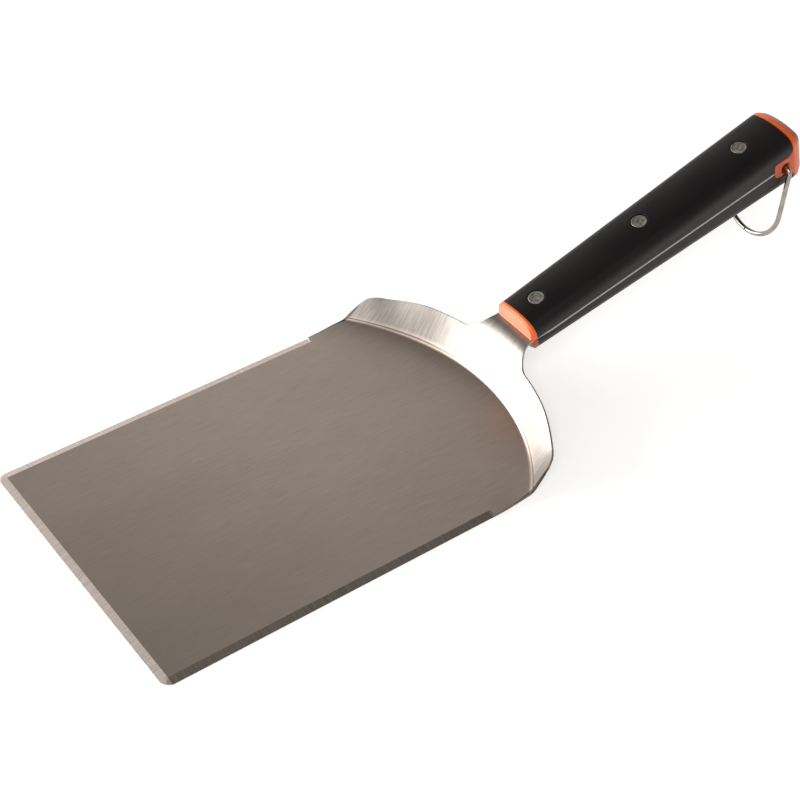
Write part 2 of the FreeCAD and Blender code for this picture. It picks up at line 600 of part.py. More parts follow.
# ---------------------------------------------------------------- hanging_loop
def make_hanging_loop():
    """Round wire bent into a U whose two ends turn inwards into the end cap's cross hole."""
    along, below = dim("loop_axis_along"), dim("loop_axis_below")
    axis = on_handle(along, -below).Base
    body = new_body("hanging_loop", FreeCAD.Placement(axis, FreeCAD.Rotation(V(1, 0, 0), -dim("loop_swing"))))
    half, leg, bend, tail = (dim(a) for a in ("loop_half_width", "loop_leg", "loop_bend", "loop_tail"))
    path = new_sketch(body, "wire_path", "XZ_Plane")
    up = V(0, 0, 1)
    quarter = math.pi / 2
    path.addGeometry([
        Part.LineSegment(V(-tail, 0, 0), V(-(half - bend), 0, 0)),
        Part.ArcOfCircle(Part.Circle(V(-(half - bend), -bend, 0), up, bend), quarter, 2 * quarter),
        Part.LineSegment(V(-half, -bend, 0), V(-half, -leg, 0)),
        Part.ArcOfCircle(Part.Circle(V(0, -leg, 0), up, half), 2 * quarter, 4 * quarter),
        Part.LineSegment(V(half, -leg, 0), V(half, -bend, 0)),
        Part.ArcOfCircle(Part.Circle(V(half - bend, -bend, 0), up, bend), 0, quarter),
        Part.LineSegment(V(half - bend, 0, 0), V(tail, 0, 0)),
    ], False)
    rules = [("Tangent", 0, 2, 1, 1), ("Tangent", 1, 2, 2, 1), ("Tangent", 2, 2, 3, 1),
             ("Tangent", 3, 2, 4, 1), ("Tangent", 4, 2, 5, 1), ("Tangent", 5, 2, 6, 1),
             ("PointOnObject", 0, 1, -1), ("PointOnObject", 6, 2, -1), ("PointOnObject", 3, 3, -2),
             ("Horizontal", 0), ("Horizontal", 6), ("Vertical", 2), ("Vertical", 4)]
    for rule in rules:
        path.addConstraint(Sketcher.Constraint(*rule))
    bind(path, "Radius", (3,), "round_end", "loop_half_width")
    bind(path, "Radius", (1,), "left_bend", "loop_bend")
    bind(path, "Radius", (5,), "right_bend", "loop_bend")
    bind(path, "DistanceY", (3, 3, -1, 1), "leg", "loop_leg")
    bind(path, "DistanceX", (0, 1, -1, 1), "left_tail", "loop_tail")
    bind(path, "DistanceX", (-1, 1, 6, 2), "right_tail", "loop_tail")
    wire = new_sketch(body, "wire_section", "YZ_Plane", -tail)
    circle(wire, "0", "0", "wire_diameter", "wire")
    doc.recompute()
    sweep = body.newObject("PartDesign::AdditivePipe", "wire")
    sweep.Profile = wire
    sweep.Spine = (path, [f"Edge{k}" for k in range(1, 8)])
    sweep.Transition = "Transformed"
    body.Tip = sweep
    doc.recompute()
    length = 2 * (half - bend - tail) + 2 * (leg - bend) + math.pi * (half + bend)
    volume = math.pi * dim("wire_diameter") ** 2 / 4 * length
    if abs(body.Shape.Volume / volume - 1) > 0.01:
        raise RuntimeError(f"hanging_loop: volume {body.Shape.Volume:.1f} instead of {volume:.1f}")
    return body


# ---------------------------------------------------------------- assembly
end_cap = make_end_cap()
cap_space = make_cap_space(end_cap)
blade = doc.addObject("Part::MultiFuse", "blade_and_tang")
blade.Shapes = [make_blade_plate(), make_shoulder(), make_tang()]
blade.Refine = True

parts = [blade, end_cap,
         make_scale("upper_scale", UPPER, cap_space), make_scale("lower_scale", LOWER, cap_space),
         make_bolster("front_bolster_upper", UPPER), make_bolster("front_bolster_lower", LOWER),
         make_hanging_loop()]
for place, along in zip(("front", "middle", "rear"), rivet_alongs()):
    parts.append(make_rivet(f"{place}_rivet_tube", along, UPPER, True))
    parts.append(make_rivet(f"{place}_rivet_pin", along, LOWER, False))
doc.recompute()

failed = [f"{o.Name}: {o.State}" for o in doc.Objects if {"Invalid", "Error"} & set(o.State)]
failed += [p.Label for p in parts if p.Shape.isNull() or not p.Shape.isValid() or len(p.Shape.Solids) != 1]
if failed:
    raise RuntimeError("not built: " + ", ".join(failed))

os.makedirs("parts", exist_ok=True)
for part in parts:
    part.Shape.exportStep(f"parts/{part.Label}.step")
    box = part.Shape.BoundBox
    print(f"{part.Label:22s} {part.Shape.Volume:10.1f} mm3  "
          f"x {box.XMin:8.2f} {box.XMax:8.2f}  y {box.YMin:8.2f} {box.YMax:8.2f}  z {box.ZMin:7.2f} {box.ZMax:7.2f}")
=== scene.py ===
import bmesh
import bpy
import numpy as np
from mathutils import Matrix


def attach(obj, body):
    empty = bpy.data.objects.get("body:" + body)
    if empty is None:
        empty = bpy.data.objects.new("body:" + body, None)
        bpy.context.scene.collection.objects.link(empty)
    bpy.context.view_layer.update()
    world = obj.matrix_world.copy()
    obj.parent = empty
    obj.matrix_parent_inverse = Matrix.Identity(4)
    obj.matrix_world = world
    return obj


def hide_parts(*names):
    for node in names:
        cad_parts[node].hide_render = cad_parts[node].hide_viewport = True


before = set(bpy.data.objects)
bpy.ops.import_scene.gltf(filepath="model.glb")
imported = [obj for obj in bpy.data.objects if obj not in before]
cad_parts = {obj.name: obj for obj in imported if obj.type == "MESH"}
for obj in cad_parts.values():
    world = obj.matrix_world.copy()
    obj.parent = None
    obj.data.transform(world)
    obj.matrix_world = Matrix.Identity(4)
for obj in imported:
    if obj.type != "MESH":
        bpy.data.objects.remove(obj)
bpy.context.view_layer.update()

# ---------------------------------------------------------------- blade, shoulder and tang
# One sheet of 1.2 mm stainless steel, blanked and pressed: a flat blade with a ground bevel on three
# sides, a curved shoulder that stands up behind it, and a full tang that carries the handle.  Blade
# and shoulder are brushed along the tool, and the bevels are ground across their own edges.
GAUGE = 1.2
FRONT = -207.6
BLADE_HALF, CORNER = 76.4, 5.0
FLAT_END = 174.0
BEVEL_WIDTH, BEVEL_DEPTH, BEVEL_END, BEVEL_RUNOUT = 3.9, 0.9, 171.7, 1.1
ARC_CENTRE, FOOT_RADIUS, CREST_RADIUS = 113.2, 110.9, 119.9
SLOPE_MIDDLE, SLOPE_END = np.tan(np.radians((62.0, 50.0)))
LEAN_START, LEAN_END = 21.0, 37.0
LIFT_SLOPE, LIFT_RUN = np.tan(np.radians(6.2)), 8.0
FOOT_BLEND, NECK_BLEND, NECK_FILLET = 1.6, 7.4, 13.0
CREST_END = np.radians(33.5)
CREST_TIP, SHOULDER_CORNER = (73.65, 208.55), (74.1, 202.5)
TILT = np.radians(14.1)
HANDLE_Y, HANDLE_Z = 243.15, 25.72
TANG_LENGTH = 155.8
TANG_STATIONS, TANG_HALVES = (0.0, 12.0, TANG_LENGTH), (13.2, 14.04, 15.56)
TANG_FRONT = TANG_HALVES[0]
EDGE_ROUND = 0.15
DENSE_FROM, BEND_BAND = 168.0, 2.6


def smooth_step(value):
    """3 v^2 - 2 v^3, with v kept between 0 and 1."""
    value = np.clip(value, 0, 1)
    return value * value * (3 - 2 * value)


def rounded_extreme(a, b, size, sign):
    """The larger (sign 1) or smaller (sign -1) of two heights; where they are closer than size, a
    parabola of that overlap bridges them."""
    overlap = np.maximum(size - np.abs(a - b), 0)
    return (np.maximum(a, b) if sign > 0 else np.minimum(a, b)) + sign * overlap ** 2 / (4 * size)


def sheet_height(x, y):
    """Height of the sheet's top: the blade's plane, lifted at its rear corners by |x|^6; a cone that
    rises from the foot arc with a slope that falls off past an azimuth; and the tang's tilted plane."""
    y = np.maximum(y, FLAT_END)
    past = y - FLAT_END
    ramp = np.where(past < LIFT_RUN, past ** 2 / (2 * LIFT_RUN), past - LIFT_RUN / 2)
    blade = GAUGE + ramp * LIFT_SLOPE * np.abs(x / BLADE_HALF) ** 6
    along = y - ARC_CENTRE
    azimuth = np.degrees(np.arctan2(np.abs(x), along))
    lean = smooth_step((azimuth - LEAN_START) / (LEAN_END - LEAN_START))
    slope = SLOPE_MIDDLE + (SLOPE_END - SLOPE_MIDDLE) * lean
    cone = blade + (np.hypot(x, along) - FOOT_RADIUS) * slope
    tang = HANDLE_Z + (y - HANDLE_Y) * np.tan(TILT) + GAUGE / 2 / np.cos(TILT)
    return rounded_extreme(rounded_extreme(blade, cone, FOOT_BLEND, 1), tang, NECK_BLEND, -1)


def sheet_normal(x, y):
    """Unit normal of the sheet's top, from the height's central differences."""
    step = 0.02
    slope_x = (sheet_height(x + step, y) - sheet_height(x - step, y)) / (2 * step)
    slope_y = (sheet_height(x, y + step) - sheet_height(x, y - step)) / (2 * step)
    normal = np.stack([-slope_x, -slope_y, np.ones_like(slope_x)], -1)
    return normal / np.linalg.norm(normal, axis=-1, keepdims=True)


def shoulder_outline():
    """Rear edge of the shoulder for x from 0 to the side: the tang's width, a fillet, the crest's
    arc and a corner rounded by a quadratic curve."""
    neck_x = TANG_FRONT + NECK_FILLET
    neck_y = ARC_CENTRE + np.sqrt((CREST_RADIUS + NECK_FILLET) ** 2 - neck_x ** 2)
    rear = HANDLE_Y - GAUGE / 2 * np.sin(TILT)
    tang = np.stack([TANG_FRONT * np.linspace(0, 1, 11), np.full(11, rear)], 1)
    first = np.pi + max(np.arcsin((neck_y - rear) / NECK_FILLET), 0)
    last = np.pi + np.arctan2(neck_y - ARC_CENTRE, neck_x)
    turn = first + (last - first) * np.linspace(0, 1, 23)[1:] ** 0.75
    neck = np.stack([neck_x + NECK_FILLET * np.cos(turn), neck_y + NECK_FILLET * np.sin(turn)], 1)
    start = np.arctan2(neck_x, neck_y - ARC_CENTRE)
    sweep = np.linspace(start, CREST_END, 42)[1:]
    arc = np.stack([CREST_RADIUS * np.sin(sweep), ARC_CENTRE + CREST_RADIUS * np.cos(sweep)], 1)
    u = np.linspace(0, 1, 201)
    curve = [a * (1 - u) ** 2 + b * 2 * u * (1 - u) + c * u ** 2
             for a, b, c in zip(arc[-1], CREST_TIP, SHOULDER_CORNER)]
    bevel_line = np.interp(SHOULDER_CORNER[0] * (1 - BEVEL_WIDTH / BLADE_HALF), curve[0], u)
    stops = np.concatenate([np.linspace(0, bevel_line, 7)[1:], np.linspace(bevel_line, 1, 15)[1:]])
    end = np.stack([np.interp(stops, u, line) for line in curve], 1)
    half = np.concatenate([tang, neck, arc, end])
    return np.concatenate([half[:0:-1] * (-1, 1), half])


def grid_faces(index):
    """Quads between the neighbours of a grid of point numbers."""
    return np.stack([index[:-1, :-1], index[:-1, 1:], index[1:, 1:], index[1:, :-1]], -1).reshape(-1, 4)


def sheet_plan():
    """Plan positions of the sheet's grid: the flat blade's rows, then lines that run from the blade to
    the shoulder's outline with x growing as the fourth power, closest together at the foot's bend."""
    outline = shoulder_outline()
    share = outline[:, 0] / SHOULDER_CORNER[0]
    x0 = BLADE_HALF * share
    rows = np.concatenate([np.linspace(0, BEVEL_WIDTH, 14), np.linspace(BEVEL_WIDTH, DENSE_FROM, 40)[1:],
                           np.linspace(DENSE_FROM, BEVEL_END, 5)[1:], [BEVEL_END + 0.03],
                           np.linspace(BEVEL_END, FLAT_END, 4)[1:]])
    outside = np.clip(np.abs(x0) - (BLADE_HALF - CORNER), 0, CORNER)
    corner_y = CORNER - np.sqrt(CORNER ** 2 - outside ** 2)
    y = rows[:, None] + corner_y * np.clip(1 - rows[:, None] / 12, 0, None)
    beside = np.clip((np.abs(x0) - BLADE_HALF + BEVEL_WIDTH) / BEVEL_WIDTH, 0, 1)
    near_end = np.clip(1 - np.abs(rows[:, None] - BEVEL_END) / (FLAT_END - BEVEL_END), 0, 1)
    y = y + BEVEL_RUNOUT * beside * near_end
    x = np.broadcast_to(x0, y.shape)
    side = (1 - (BLADE_HALF - np.abs(x)) / BEVEL_WIDTH) * (rows[:, None] < BEVEL_END + 0.01)
    drop = BEVEL_DEPTH * np.clip(np.maximum(1 - y / BEVEL_WIDTH, side), 0, 1)

    low, high = np.zeros(len(outline)), np.ones(len(outline))
    for _ in range(40):
        middle = (low + high) / 2
        reach = np.hypot(x0 + (outline[:, 0] - x0) * middle ** 4,
                         FLAT_END + (outline[:, 1] - FLAT_END) * middle - ARC_CENTRE)
        low, high = np.where(reach < FOOT_RADIUS, middle, low), np.where(reach < FOOT_RADIUS, high, middle)
    near = BEND_BAND / (outline[:, 1] - FLAT_END)
    ahead, bend, behind = (np.linspace(0, 1, n)[1:, None] for n in (11, 27, 27))
    part = np.concatenate([(low - near) * (1 - (1 - ahead) ** 1.5), low - near + 2 * near * bend,
                           low + near + (1 - low - near) * behind ** 1.3])
    x = np.concatenate([x, x0 + (outline[:, 0] - x0) * part ** 4])
    y = np.concatenate([y, FLAT_END + (outline[:, 1] - FLAT_END) * part])
    return x, y, np.concatenate([drop, np.zeros(part.shape)])


def thick_sheet(top, under, faces):
    """Closed shell: the top, the underside turned over, and a wall round every free edge whose two
    corners are rounded with quarter circles.  A wall's outward direction is edge x thickness."""
    edges = np.concatenate([np.stack([faces[:, k], faces[:, (k + 1) % 4]], 1) for k in range(4)])
    _, first, count = np.unique(np.sort(edges, 1), axis=0, return_index=True, return_counts=True)
    rim = edges[first[count == 1]]
    down = under - top
    thickness = np.linalg.norm(down, axis=1, keepdims=True)
    down = down / thickness
    run = top[rim[:, 1]] - top[rim[:, 0]]
    run /= np.linalg.norm(run, axis=1, keepdims=True)
    out = np.zeros_like(top)
    for end in (0, 1):
        np.add.at(out, rim[:, end], np.cross(run, -down[rim[:, end]]))
    names = np.unique(rim)
    out = out[names] / np.linalg.norm(out[names], axis=1, keepdims=True)
    size = np.minimum(EDGE_ROUND, 0.45 * thickness[names])
    steps = np.radians([30, 60, 90])
    rings = [top[names] + out * size * (np.sin(a) - 1) + down[names] * size * (1 - np.cos(a)) for a in steps]
    rings += [under[names] + out * size * (np.sin(a) - 1) - down[names] * size * (1 - np.cos(a))
              for a in steps[::-1]]
    top, under = top.copy(), under.copy()
    top[names] -= out * size
    under[names] -= out * size
    count, place = len(top), np.full(len(top), -1)
    place[names] = np.arange(len(names))
    ladder = [rim] + [2 * count + k * len(names) + place[rim] for k in range(len(rings))] + [rim + count]
    walls = [np.stack([a[:, 1], a[:, 0], b[:, 0], b[:, 1]], 1) for a, b in zip(ladder, ladder[1:])]
    return np.concatenate([top, under, *rings]), np.concatenate([faces, faces[:, ::-1] + count, *walls])


def make_piece(name, points, faces, crease):
    """A mesh object from points in millimetres; edges that turn by more than crease degrees are sharp."""
    mesh = bpy.data.meshes.new(name)
    mesh.from_pydata((points * 0.001).tolist(), [], [list(f) for f in faces])
    shape = bmesh.new()
    shape.from_mesh(mesh)
    bmesh.ops.remove_doubles(shape, verts=shape.verts, dist=2e-6)
    bmesh.ops.recalc_face_normals(shape, faces=shape.faces)
    shape.to_mesh(mesh)
    shape.free()
    mesh.shade_smooth()
    mesh.set_sharp_from_angle(angle=np.radians(crease))
    piece = bpy.data.objects.new(name, mesh)
    bpy.context.scene.collection.objects.link(piece)
    return piece


plan_x, plan_y, drop = sheet_plan()
index = np.arange(plan_x.size).reshape(plan_x.shape)
in_tang = np.abs(plan_x[-1]) < TANG_FRONT + 1e-6
along = np.linspace(0, TANG_LENGTH, 41)[1:, None]
widen = np.interp(along, TANG_STATIONS, TANG_HALVES) / TANG_FRONT
tang_x = plan_x[-1, in_tang] * widen
tang_y = plan_y[-1, in_tang] + along * np.cos(TILT)
tang_index = plan_x.size + np.arange(tang_x.size).reshape(tang_x.shape)
with_tang = np.concatenate([index[-1:, in_tang], tang_index])
sheet_faces = np.concatenate([grid_faces(index), grid_faces(with_tang)])
flat_x = np.concatenate([plan_x.ravel(), tang_x.ravel()])
flat_y = np.concatenate([plan_y.ravel(), tang_y.ravel()])
sheet_top = np.stack([flat_x, flat_y, sheet_height(flat_x, flat_y)], 1)
sheet_under = sheet_top - GAUGE * sheet_normal(flat_x, flat_y)
sheet_top[:drop.size, 2] -= drop.ravel()
to_row = np.array([0, FRONT, 0])
points, faces = thick_sheet(sheet_top + to_row, sheet_under + to_row, sheet_faces)
sheet = make_piece("pressed_sheet", points, faces, crease=9)


class Shade:
    """One socket of a material's node tree.  Arithmetic on it adds Math nodes; node() adds any other."""

    def __init__(self, tree, socket=None):
        self.tree, self.socket = tree, socket

    def node(self, kind, settings=(), sockets=(), output=0):
        new = self.tree.nodes.new("ShaderNode" + kind)
        for name, value in dict(settings).items():
            if name == "stops":
                elements = new.color_ramp.elements
                for place, (position, grey) in enumerate(value):
                    stop = elements[place] if place < 2 else elements.new(position)
                    stop.position, stop.color = position, (grey, grey, grey, 1)
            else:
                setattr(new, name, value)
        for key, value in dict(sockets).items():
            if isinstance(value, Shade):
                self.tree.links.new(value.socket, new.inputs[key])
            else:
                new.inputs[key].default_value = value
        return Shade(self.tree, new.outputs[output])

    def math(self, operation, a, b=0.0):
        return self.node("Math", {"operation": operation}, {0: a, 1: b})

    def __add__(self, other):
        return self.math("ADD", self, other)

    def __sub__(self, other):
        return self.math("SUBTRACT", self, other)

    def __rsub__(self, other):
        return self.math("SUBTRACT", other, self)

    def __mul__(self, other):
        return self.math("MULTIPLY", self, other)

    def __abs__(self):
        return self.math("ABSOLUTE", self)

    __radd__, __rmul__ = __add__, __mul__

    def above(self, low, high):
        """0 below low, 1 above high, a smooth ramp between."""
        return self.node("MapRange", {"interpolation_type": "SMOOTHSTEP"}, {0: self, 1: low, 2: high})

    def noise(self, scale, detail=3.0, rough=0.55):
        """Noise on object coordinates stretched by a scale for each axis, in patches per metre."""
        place = self.node("TexCoord", output="Object")
        stretched = self.node("Mapping", {"vector_type": "POINT"}, {"Vector": place, "Scale": scale})
        return self.node("TexNoise", {}, {"Vector": stretched, "Scale": 1.0, "Detail": detail,
                                          "Roughness": rough})

    def mix(self, factor, a, b):
        """Colour a where factor is 0, colour b where it is 1."""
        return self.node("Mix", {"data_type": "RGBA"}, {0: factor, 6: a, 7: b}, output=2)

    def bump(self, height, strength, distance, under=None):
        sockets = {"Height": height, "Strength": strength, "Distance": distance}
        if under:
            sockets["Normal"] = under
        return self.node("Bump", {}, sockets)


def make_material(name, paint, **constants):
    """A Principled material: constants go on its own sockets, and paint(shade) gives what varies."""
    material = bpy.data.materials.new(name)
    material.use_nodes = True
    tree = material.node_tree
    surface = tree.nodes["Principled BSDF"]
    for key, value in constants.items():
        surface.inputs[key.replace("_", " ")].default_value = value
    for key, value in paint(Shade(tree)).items():
        tree.links.new(value.socket, surface.inputs[key.replace("_", " ")])
    return material


def rgb(red, green, blue):
    return red, green, blue, 1.0


# The colour of painted shade on the blade's face and on the shoulder's crest edge.
SHADED_STEEL = rgb(0.20, 0.175, 0.155)


def place_mm(shade):
    """The piece's own coordinates in millimetres."""
    place = shade.node("TexCoord", output="Object")
    return [shade.node("SeparateXYZ", {}, {0: place}, output=k) * 1000 for k in range(3)]


def bevel_masks(x, y, z):
    """1 on the side bevels and 1 on the front bevel; the underside has neither."""
    on_top = z.above(0.1, 0.25) * (1 - z.above(1.4, 1.8))
    inner, end, front_line = BLADE_HALF - BEVEL_WIDTH, FRONT + BEVEL_END + 1, FRONT + BEVEL_WIDTH
    side = abs(x).above(inner - 0.05, inner + 0.05) * (1 - y.above(end, end + 0.5)) * on_top
    front = (1 - y.above(front_line - 0.05, front_line + 0.05)) * on_top
    return side, front


def edge_shade_masks(x, y, reach, behind):
    """Where painted shade darkens the sheet: 1 on the blade's sheared side edges behind the bevels, in a
    thin line along the foot's bend, and on the shoulder's crest edge."""
    inward = (y - (FRONT + FLAT_END)).above(0, SHOULDER_CORNER[1] - FLAT_END)
    from_side = abs(x) + inward * inward * (BLADE_HALF - SHOULDER_CORNER[0])
    sheared = from_side.above(BLADE_HALF - 0.15, BLADE_HALF - 0.05)
    sheared = sheared * (y - (FRONT + BEVEL_END)).above(0, 0.5)
    bend = reach.above(FOOT_RADIUS + 0.3, FOOT_RADIUS + 0.5)
    bend = bend * (1 - reach.above(FOOT_RADIUS + 0.8, FOOT_RADIUS + 1))
    crest = reach.above(CREST_RADIUS - 0.05, CREST_RADIUS + 0.1) * abs(x).above(24, 30)
    return sheared, bend * behind, crest * behind


def painted_shade_mask(x, y, reach):
    """Painted shade on the blade's face: how much darker it is, more towards its front and its right
    side, and at the right of the shoulder's foot."""
    near_foot = reach.above(85, 112) * x.above(0, 60) * y.above(-90, -60)
    return (1 - y.above(-230, -70)) * 0.36 + x.above(-60, 100) * 0.16 + near_foot * 0.22


def paint_brushed_steel(shade):
    """Brush lines run along the tool, and across it on the tang; grinding marks cross each bevel.
    Painted shade: the right bevel, the sheet's edges, a line along the foot's bend, and the shoulder
    and the tang are darker, and the blade's face is darkened by a painted shade mask."""
    x, y, z = place_mm(shade)
    from_centre = y - (FRONT + ARC_CENTRE)
    reach = shade.math("POWER", x * x + from_centre * from_centre, 0.5)
    side, front = bevel_masks(x, y, z)
    ground = side.math("MAXIMUM", side, front)
    fine = shade.noise((3400, 130, 130), 3, 0.6)
    coarse = shade.noise((1500, 60, 60), 2, 0.5)
    broad = shade.noise((16, 7, 16), 2, 0.5)
    across = shade.noise((70, 2100, 400), 3, 0.6)
    chatter = shade.noise((2200, 60, 400), 3, 0.6)
    on_tang = y.above(36, 38)
    lines = (fine * 0.6 + coarse * 0.4) * (1 - on_tang) + across * on_tang
    marks = across * side + chatter * (1 - side)
    grain = lines * (1 - ground) + marks * ground
    streak = grain.above(0.3, 0.7)
    tone = (grain * 0.75 + broad * 0.25).above(0.2, 0.8)

    face = shade.mix(tone, rgb(0.57, 0.484, 0.418), rgb(0.80, 0.685, 0.60))
    # Painted shade: the blade's face darkens towards its front, its right side and the shoulder's foot.
    face = shade.mix(painted_shade_mask(x, y, reach), face, SHADED_STEEL)
    # Painted shade: the shoulder and the tang get a darker copy of the steel's colour.
    shoulder = shade.mix(grain.above(0.34, 0.66), rgb(0.285, 0.26, 0.24), rgb(0.42, 0.388, 0.36))
    face = shade.mix(z.above(2, 5), face, shoulder)
    specks = shade.noise((900, 900, 900), 1, 0.5).above(0.775, 0.80)
    face = shade.mix(specks * 0.5, face, rgb(0.85, 0.82, 0.78))
    # Lit and shaded copies of the bevels' colour: the right-hand bevel gets the painted shade.
    lit_bevel = shade.mix(streak, rgb(0.62, 0.54, 0.49), rgb(0.78, 0.70, 0.645))
    shaded_bevel = shade.mix(streak, rgb(0.28, 0.24, 0.205), rgb(0.41, 0.355, 0.31))
    bevel = shade.mix(x.above(70, 71) * (1 - front), lit_bevel, shaded_bevel)
    colour = shade.mix(ground, face, bevel)

    sheared, bend, crest = edge_shade_masks(x, y, reach, from_centre.above(20, 30))
    # Painted shade: the sheared edges, a line in the foot's bend and the crest edge are darkened.
    colour = shade.mix(sheared * 0.85, colour, rgb(0.12, 0.10, 0.088))
    colour = shade.mix(bend * 0.75, colour, rgb(0.10, 0.075, 0.06))
    colour = shade.mix(crest * 0.8, colour, SHADED_STEEL)
    rough = 0.32 + grain * 0.08 + broad * 0.05 + ground * 0.12
    return {"Base_Color": colour, "Roughness": rough, "Normal": shade.bump(grain, 0.2, 0.00003)}


sheet.data.materials.append(make_material("brushed_stainless", paint_brushed_steel, Metallic=1.0))
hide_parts("blade_and_tang")
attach(sheet, "spatula")

# ---------------------------------------------------------------- handle scales
# Two grip halves moulded in black glass-filled plastic with a satin face: upright sides, round long
# corners and a gently crowned back.  They lie on the tang and are held by three rivets whose heads
# sit in counterbores; at the rear both are cut away round the tongues of the end cap.
RING_END, SCALE_END = 3.2, 168.9
WIDTH_FRONT, WIDTH_REAR = 13.9, 15.65
BACK_FRONT, BACK_REAR = GAUGE / 2 + 9.2, GAUGE / 2 + 15.6
GRIP_CORNER, GRIP_CROWN = 6.5, 40.0
RIVET_SPOTS = 15.2, 81.2, 147.2
WINDOW = 5.6
SINK_RADIUS, BORE_RADIUS = 4.45, 2.55
RIVET_RECESS, HEAD_THICKNESS = 0.3, 1.2
TONGUE_FRONT, TONGUE_TOP, TONGUE_FLARE, TONGUE_ROUND = 156.3, 5.0, 4.0, 2.2
TONGUE_BOTTOM, TONGUE_ROOT, TONGUE_LOW_FLARE = 3.4, 7.0, 2.6
SINK_LIP = 0.18


def on_handle(points):
    """Handle coordinates (across, along, away from the tang's middle plane) turned into the row frame:
    tilted by the handle's angle about X and moved to the handle's front."""
    across, along, away = points.T
    return np.stack([across, FRONT + HANDLE_Y + along * np.cos(TILT) - away * np.sin(TILT),
                     HANDLE_Z + along * np.sin(TILT) + away * np.cos(TILT)], 1)


def grip_size(along):
    """Half width and height of the handle at a distance from its front; both grow in a straight line."""
    share = (along - RING_END) / (SCALE_END - RING_END)
    return WIDTH_FRONT + (WIDTH_REAR - WIDTH_FRONT) * share, BACK_FRONT + (BACK_REAR - BACK_FRONT) * share


def crown_height(x, along):
    """Height of the crowned back: a circle of the crown's radius under the highest point."""
    return grip_size(along)[1] - GRIP_CROWN + np.sqrt(GRIP_CROWN ** 2 - x ** 2)


def grip_side(width, back, foot, inset=0.0, count=24):
    """Right half of the section outside the rivet band, from its crown to its foot: crown circle,
    corner circle tangent to it and to the upright side, stepped by equal arc lengths; (x, height)."""
    width, back = width - inset, back - inset
    corner, crown = GRIP_CORNER - inset, GRIP_CROWN - inset
    centre_x = width - corner
    centre_h = back - crown + np.sqrt((crown - corner) ** 2 - centre_x ** 2)
    turn = np.arctan2(centre_h - (back - crown), centre_x)
    start = np.arcsin(WINDOW / crown)
    lengths = crown * (np.pi / 2 - turn - start), corner * turn, centre_h - foot
    step = np.linspace(0, 1, count + 1)[:, None] * (lengths[0] + lengths[1] + lengths[2])
    on_crown = start + np.minimum(step, lengths[0]) / crown
    on_corner = turn - np.clip(step - lengths[0], 0, lengths[1]) / corner
    down = np.clip(step - lengths[0] - lengths[1], 0, None)
    first = step <= lengths[0]
    x = np.where(first, crown * np.sin(on_crown), centre_x + corner * np.cos(on_corner))
    height = np.where(first, back - crown + crown * np.cos(on_crown), centre_h + corner * np.sin(on_corner))
    return x, height - down


def polar_patch(along, radius, height, rings):
    """A square window of 16 by 16 cells turned into rings round a hole: each ring lies part of the
    way from the square's border to the circle.  height(x, along) puts every point on the surface."""
    step = np.linspace(-WINDOW, WINDOW, 17)
    edge = np.full(16, WINDOW)
    border = np.concatenate([np.stack([step[:-1], -edge], 1), np.stack([edge, step[:-1]], 1),
                             np.stack([step[:0:-1], edge], 1), np.stack([-edge, step[:0:-1]], 1)])
    circle = radius * border / np.linalg.norm(border, axis=1, keepdims=True)
    share = np.linspace(0, 1, rings)[:, None, None] ** 0.8
    spots = border * (1 - share) + circle * share
    x, y = spots[..., 0], spots[..., 1] + along
    return np.stack([x, y, height(x, y)], -1)


def around(rings):
    """Faces of rings that close on themselves, as point arrays with the first point repeated."""
    return np.concatenate([rings, rings[:, :1]], 1)


def patches(grids, keep=None):
    """Points and quads of several grids of points; keep drops cells of the grids it names."""
    points, faces, count = [], [], 0
    for k, grid in enumerate(grids):
        index = count + np.arange(grid[..., 0].size).reshape(grid.shape[:2])
        quads = grid_faces(index)
        if keep and k in keep:
            quads = quads[keep[k].ravel()]
        points.append(grid.reshape(-1, 3))
        faces += quads.tolist()
        count += grid[..., 0].size
    return np.concatenate(points), faces


def tongue_lines(top):
    """Distances along the handle and tongue edge heights for one scale: flush with the tang, then a
    round tip, a straight edge, and a flare into the end cap's ring."""
    base = GAUGE / 2
    turn = np.linspace(0, np.pi / 2, 9)
    near, far = (TONGUE_TOP, TONGUE_TOP) if top else (TONGUE_BOTTOM, TONGUE_ROOT)
    flare = TONGUE_FLARE if top else TONGUE_LOW_FLARE

    def level(s):
        return near + (far - near) * (s - TONGUE_FRONT) / (SCALE_END - TONGUE_FRONT)

    tip_end = TONGUE_FRONT + TONGUE_ROUND
    tip_s = TONGUE_FRONT + 0.04 + TONGUE_ROUND * (1 - np.cos(turn))
    tip_h = level(tip_end) - TONGUE_ROUND * (1 - np.sin(turn))
    straight = np.linspace(tip_end, SCALE_END - flare, 7)[1:]
    flare_s = SCALE_END - flare + flare * np.sin(turn)[1:]
    flare_h = level(SCALE_END) + flare * (1 - np.cos(turn[1:]))
    return (np.concatenate([[TONGUE_FRONT], tip_s, straight, flare_s]),
            np.concatenate([[base], tip_h, level(straight), flare_h]))


